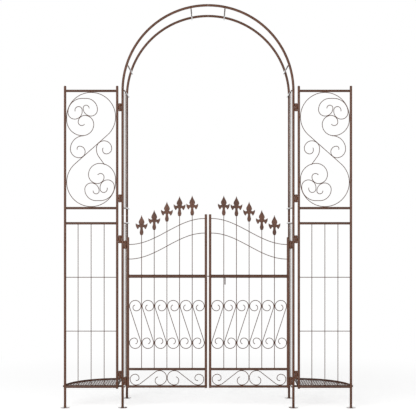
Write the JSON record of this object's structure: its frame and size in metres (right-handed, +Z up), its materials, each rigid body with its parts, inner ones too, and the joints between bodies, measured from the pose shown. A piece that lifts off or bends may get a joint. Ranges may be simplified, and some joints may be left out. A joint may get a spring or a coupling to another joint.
{
  "type": "garden trellis arch with gate",
  "caption": "Round-topped metal garden arch with a two-leaf scrollwork gate, scrollwork side wings and a quarter-round plant tray behind each wing.",
  "frame": {"origin": "on the ground, at the middle of the bounding box's base", "axes": "+X across the arch to the viewer's right, +Y from the front to the rear, +Z up"},
  "size_m": [1.6808, 0.402, 2.2996],
  "materials": {
    "tube": "satin brown powder coat",
    "wirework": "satin brown powder coat",
    "finial": "satin brown powder coat over casting",
    "tray": "satin brown powder coat",
    "foot": "grey-brown powder coat",
    "pin": "satin brown powder coat",
    "bolt": "satin brown powder coat, rubbed"
  },
  "bodies": {
    "arch": {"foot_front_right": "foot", "foot_front_left": "foot", "foot_rear_right": "foot", "foot_rear_left": "foot", "foot_wing_right": "foot", "foot_wing_left": "foot", "post_lower_front_right": "tube", "post_lower_front_left": "tube", "post_lower_rear_right": "tube", "post_lower_rear_left": "tube", "post_upper_front_right": "tube", "post_upper_front_left": "tube", "post_upper_rear_right": "tube", "post_upper_rear_left": "tube", "bow_front_right": "tube", "bow_front_left": "tube", "bow_rear_right": "tube", "bow_rear_left": "tube", "bow_bar_crown_right": "tube", "bow_bar_crown_left": "tube", "bow_bar_shoulder_right": "tube", "bow_bar_shoulder_left": "tube", "side_grid_lower_right": "wirework", "side_grid_lower_left": "wirework", "side_grid_upper_right": "wirework", "side_grid_upper_left": "wirework", "wing_post_inner_right": "tube", "wing_post_inner_left": "tube", "wing_post_outer_right": "tube", "wing_post_outer_left": "tube", "wing_scroll_panel_right": "wirework", "wing_scroll_panel_left": "wirework", "wing_grid_panel_right": "wirework", "wing_grid_panel_left": "wirework", "corner_tray_right": "tray", "corner_tray_left": "tray", "gate_hinge_pin_low_right": "pin", "gate_hinge_pin_low_left": "pin", "gate_hinge_pin_high_right": "pin", "gate_hinge_pin_high_left": "pin"},
    "gate_right": {"gate_stile_inner_right": "tube", "gate_stile_outer_right": "tube", "gate_grille_right": "wirework", "gate_bottom_panel_right": "wirework", "finial_1_right": "finial", "finial_2_right": "finial", "finial_3_right": "finial", "finial_4_right": "finial", "finial_5_right": "finial"},
    "gate_left": {"gate_stile_inner_left": "tube", "gate_stile_outer_left": "tube", "gate_grille_left": "wirework", "gate_bottom_panel_left": "wirework", "finial_1_left": "finial", "finial_2_left": "finial", "finial_3_left": "finial", "finial_4_left": "finial", "finial_5_left": "finial"},
    "bolt": {"latch_bolt": "bolt"}
  },
  "joints": [
    {"name": "gate_right_hinge", "type": "hinge", "parent": "arch", "child": "gate_right", "pos_m": [0.471, -0.175, 0.54], "axis": [0, 0, 1], "range_deg": [-60, 110]},
    {"name": "gate_left_hinge", "type": "hinge", "parent": "arch", "child": "gate_left", "pos_m": [-0.471, -0.175, 0.54], "axis": [0, 0, -1], "range_deg": [-60, 110]},
    {"name": "latch_bolt_slide", "type": "slide", "parent": "gate_right", "child": "bolt", "axis": [1, 0, 0], "range_m": [0, 0.02]}
  ]
}
